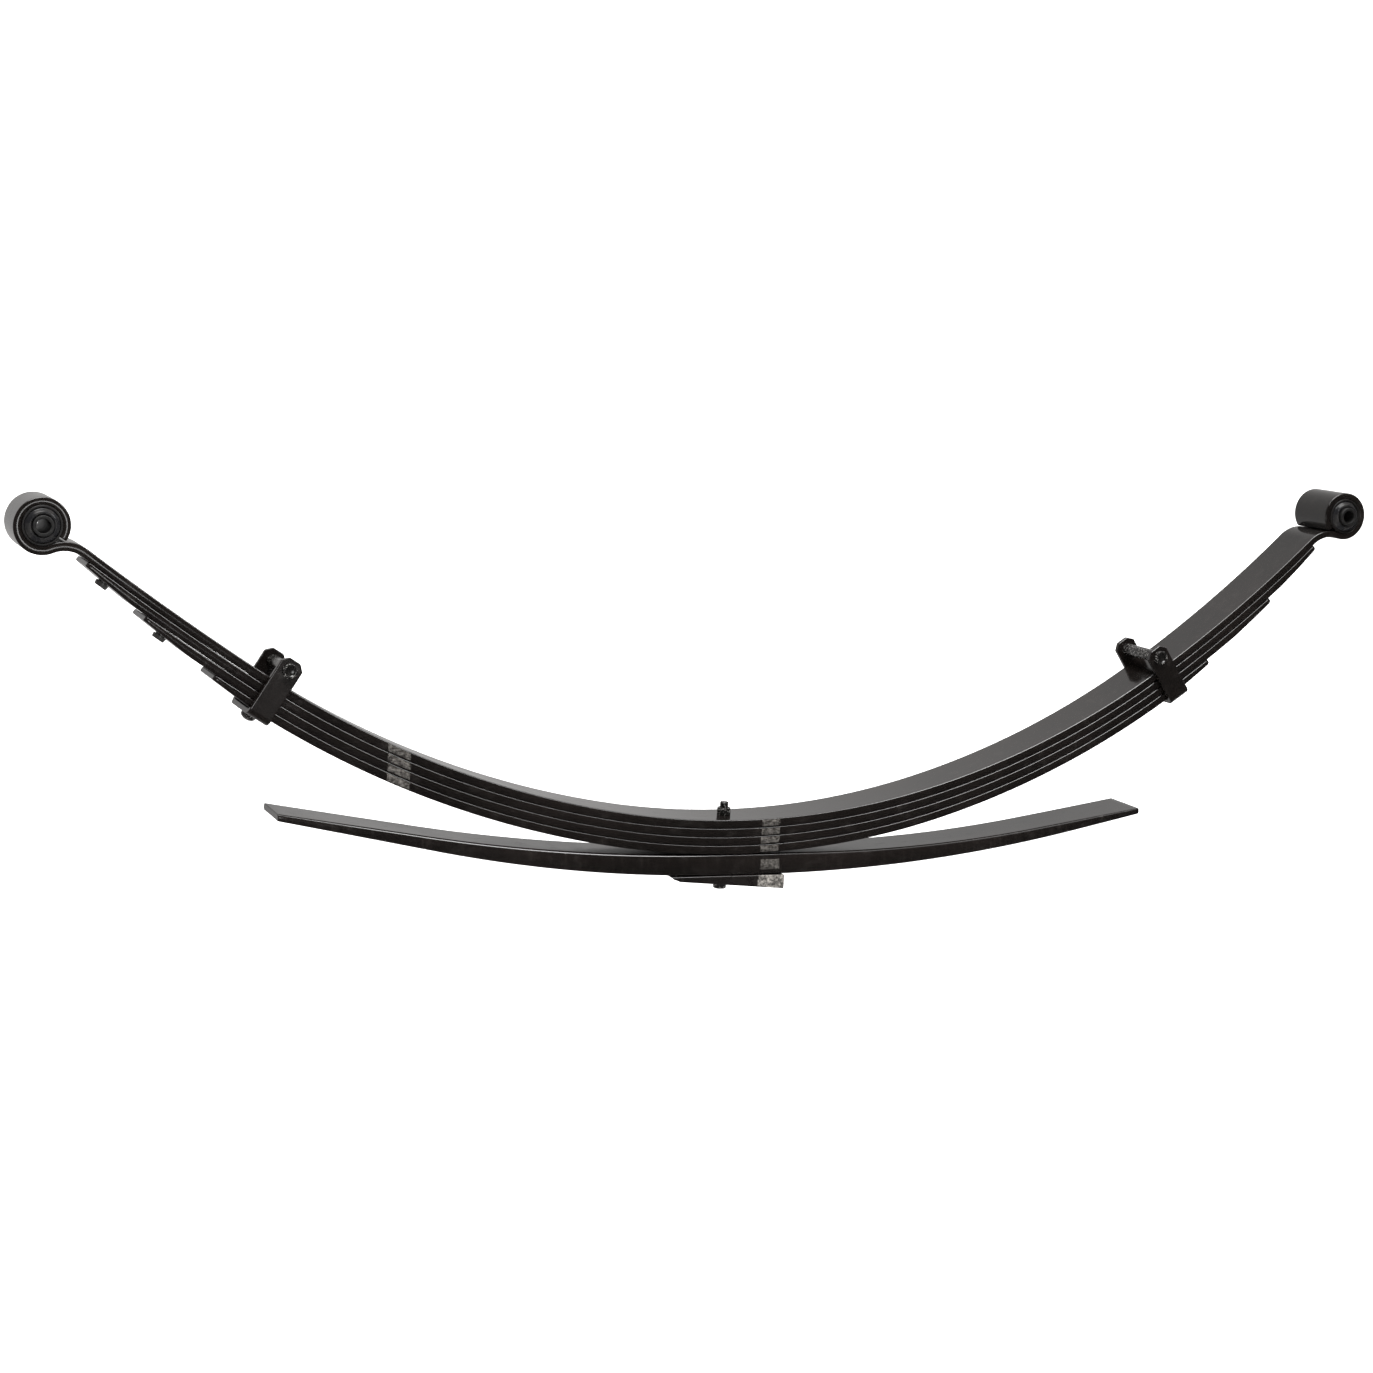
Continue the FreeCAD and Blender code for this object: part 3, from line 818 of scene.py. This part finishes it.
def softbox(name, place, target, wide, high, power):
    """Rectangular area light."""
    light = bpy.data.lights.new(name, "AREA")
    light.shape, light.size, light.size_y, light.energy = "RECTANGLE", wide, high, power
    obj = linked(name, light)
    obj.location = place
    aim(obj, target)


def sunlight():
    """Very soft light from above and a little in front."""
    light = bpy.data.lights.new("sun", "SUN")
    light.energy, light.angle = 4.2, math.radians(40)
    obj = linked("sun", light)
    obj.location = (-0.3, -0.9, 3)
    aim(obj, (0, 0, 0))


def floor():
    """Plain pale floor, well below the held spring."""
    level, reach = -0.6, 60
    mesh = bpy.data.meshes.new("floor")
    mesh.from_pydata([(-reach, -reach, level), (reach, -reach, level),
                      (reach, reach, level), (-reach, reach, level)], [], [(0, 1, 2, 3)])
    n = Nodes("floor")
    n.shader.inputs["Base Color"].default_value = (0.93, 0.93, 0.93, 1)
    n.shader.inputs["Roughness"].default_value = 0.9
    n.shader.inputs["Specular IOR Level"].default_value = 0.1
    mesh.materials.append(n.material)
    obj = linked("floor", mesh)
    obj.visible_glossy = False


def world():
    """White surround; what the paint reflects is dim in front and bright above."""
    sky = bpy.data.worlds.new("studio")
    sky.use_nodes = True
    tree = sky.node_tree
    tree.nodes.clear()

    def node(kind, **settings):
        made = tree.nodes.new("ShaderNode" + kind)
        for key, value in settings.items():
            setattr(made, key, value)
        return made
    split = node("SeparateXYZ")
    tree.links.new(node("TexCoord").outputs["Generated"], split.inputs[0])

    def ramp(axis, *values):
        made = node("MapRange", interpolation_type="SMOOTHSTEP")
        tree.links.new(split.outputs[axis], made.inputs[0])
        for socket, value in zip(made.inputs[1:5], values):
            socket.default_value = value
        return made.outputs[0]
    total = node("Math", operation="ADD")
    tree.links.new(ramp(1, -0.45, 0.55, 0.045, 0.58), total.inputs[0])
    tree.links.new(ramp(2, 0.62, 0.95, 0.0, 1.9), total.inputs[1])
    dim, white = node("Background"), node("Background")
    tree.links.new(total.outputs[0], dim.inputs["Strength"])
    dim.inputs["Color"].default_value = (1.0, 0.985, 0.975, 1)
    white.inputs["Strength"].default_value = 1.15
    white.inputs["Color"].default_value = (1, 1, 1, 1)
    mix = node("MixShader")
    tree.links.new(node("LightPath").outputs["Is Camera Ray"], mix.inputs[0])
    tree.links.new(dim.outputs[0], mix.inputs[1])
    tree.links.new(white.outputs[0], mix.inputs[2])
    tree.links.new(mix.outputs[0], node("OutputWorld").inputs[0])
    scene.world = sky


def camera():
    """Long lens from the front left, a little above, rolled slightly."""
    yaw, pitch, roll = (math.radians(a) for a in (21.933, -8.061, 3.180))
    forward = Vector((math.sin(yaw) * math.cos(pitch), math.cos(yaw) * math.cos(pitch),
                      math.sin(pitch)))
    right = Vector((math.cos(yaw), -math.sin(yaw), 0))
    up = right.cross(forward)
    across = math.cos(roll) * right + math.sin(roll) * up
    upright = math.cos(roll) * up - math.sin(roll) * right
    lens = bpy.data.cameras.new("camera")
    lens.lens, lens.sensor_width = 73.23, 36
    lens.clip_end = 200
    obj = linked("camera", lens)
    turn = Matrix((across, upright, -forward)).transposed().to_4x4()
    obj.matrix_world = Matrix.Translation((-1.1469, -2.7215, 0.6256)) @ turn
    scene.camera = obj


floor()
world()
camera()
sunlight()
softbox("strip", (-0.38, -3.4, -0.02), (-0.65, 0, 0.32), 0.62, 0.5, 9)
softbox("side_key", (0.25, -0.55, 1.05), (-0.73, 0, 0.37), 0.35, 0.5, 10)
scene.view_settings.view_transform = "Standard"
